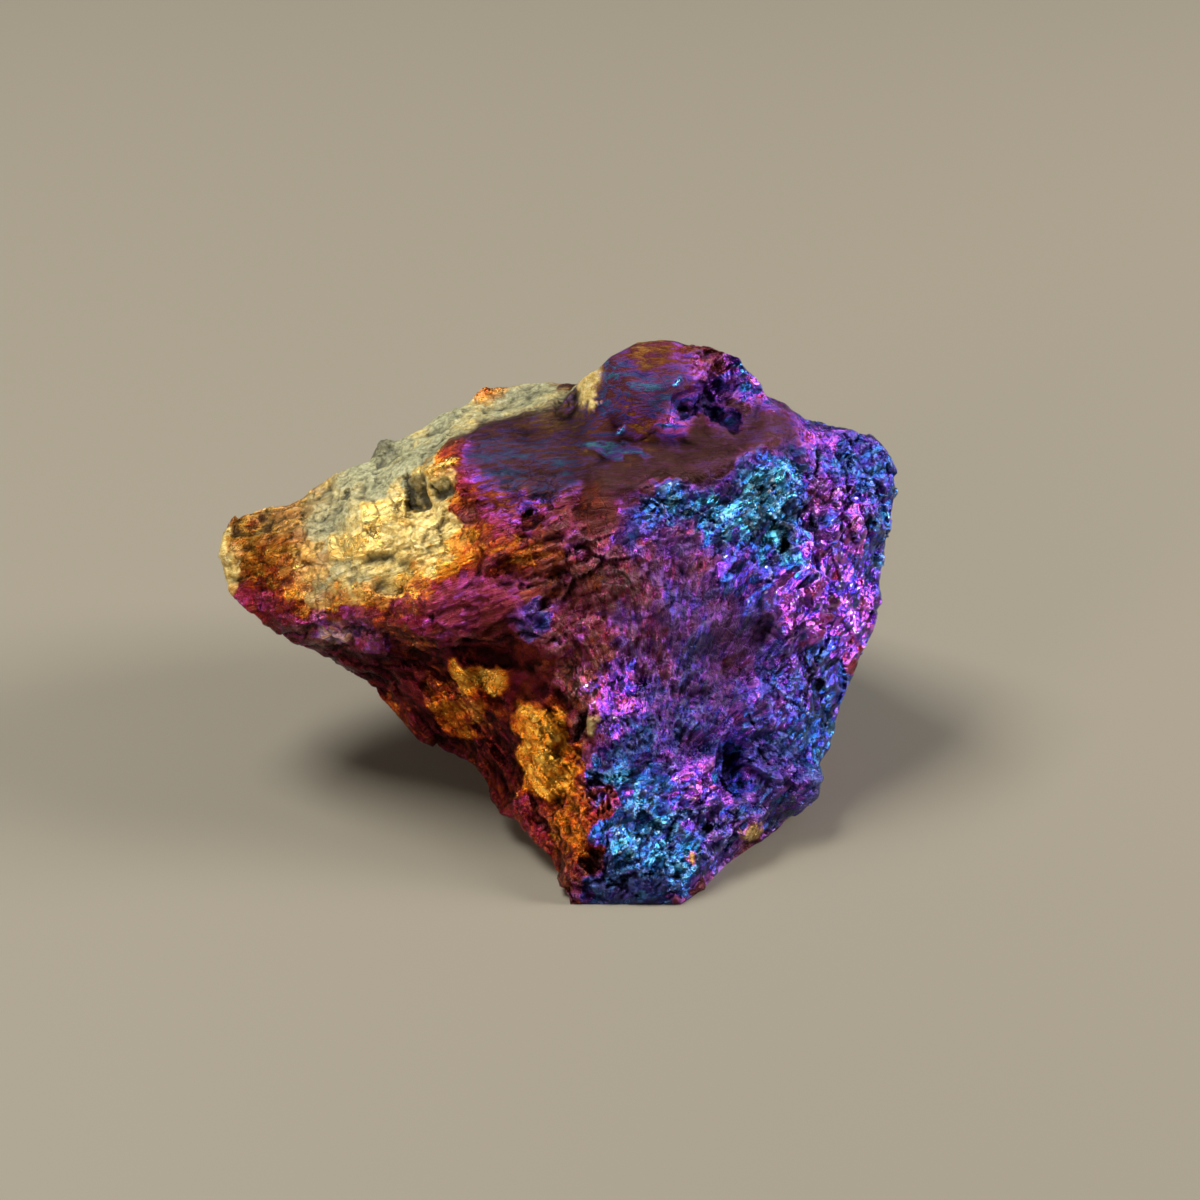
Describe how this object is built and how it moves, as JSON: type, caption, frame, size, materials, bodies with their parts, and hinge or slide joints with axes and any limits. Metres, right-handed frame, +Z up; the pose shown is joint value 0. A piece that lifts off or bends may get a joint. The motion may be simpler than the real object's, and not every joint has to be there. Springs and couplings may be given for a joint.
{
  "type": "peacock ore specimen",
  "caption": "Rough broken lump of iridescent tarnished copper ore with a knob, a flat step and a wing to one side, standing on a flat break.",
  "frame": {"origin": "centre of the bounding box, on the plane of the flat break that the lump rests on", "axes": "+X along the length, with the wing on the -X side; -Y is the shown front with the toe; +Z up"},
  "size_m": [0.0514, 0.0372, 0.0325],
  "materials": {
    "ore": "metallic tarnish on a hackly broken surface: purple and blue, through magenta and red, to gold on the wing"
  },
  "bodies": {
    "root": {"ore": "ore"}
  },
  "joints": []
}
